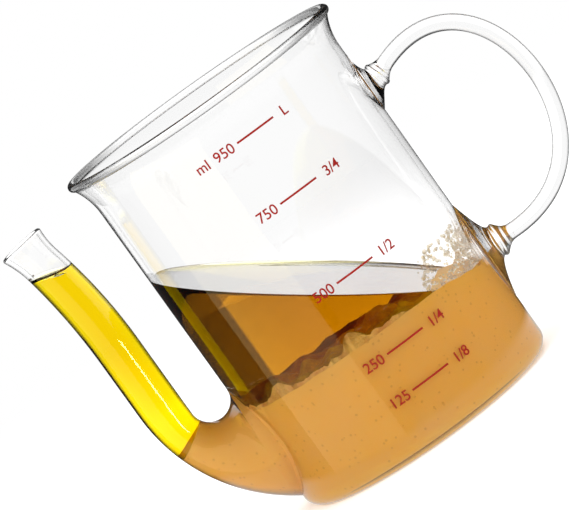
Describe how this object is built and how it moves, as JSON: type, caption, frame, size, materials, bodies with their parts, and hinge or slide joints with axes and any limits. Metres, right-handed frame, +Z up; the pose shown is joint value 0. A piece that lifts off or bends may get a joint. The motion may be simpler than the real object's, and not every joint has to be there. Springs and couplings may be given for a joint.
{
  "type": "gravy fat separator",
  "caption": "Clear glass jug with a loop handle and a spout that draws from the bottom, so that fat floating on gravy stays behind.",
  "frame": {"origin": "centre of the vessel's underside, on the vessel's axis", "axes": "+Z up along the vessel's axis, +X towards the handle, -X towards the spout, -Y towards the side with the measuring marks"},
  "size_m": [0.1953, 0.112, 0.144],
  "materials": {
    "clear_glass": "clear, fire polished",
    "red_enamel": "thin fired enamel print",
    "golden_fat": "clear golden liquid",
    "brown_gravy": "smooth opaque liquid"
  },
  "bodies": {
    "root": {"vessel": "clear_glass", "spout_root": "clear_glass", "spout_tube": "clear_glass", "handle_rod": "clear_glass", "handle_upper_weld": "clear_glass", "handle_lower_weld": "clear_glass", "mark_125": "red_enamel", "mark_250": "red_enamel", "mark_500": "red_enamel", "mark_750": "red_enamel", "mark_950": "red_enamel"}
  },
  "joints": []
}
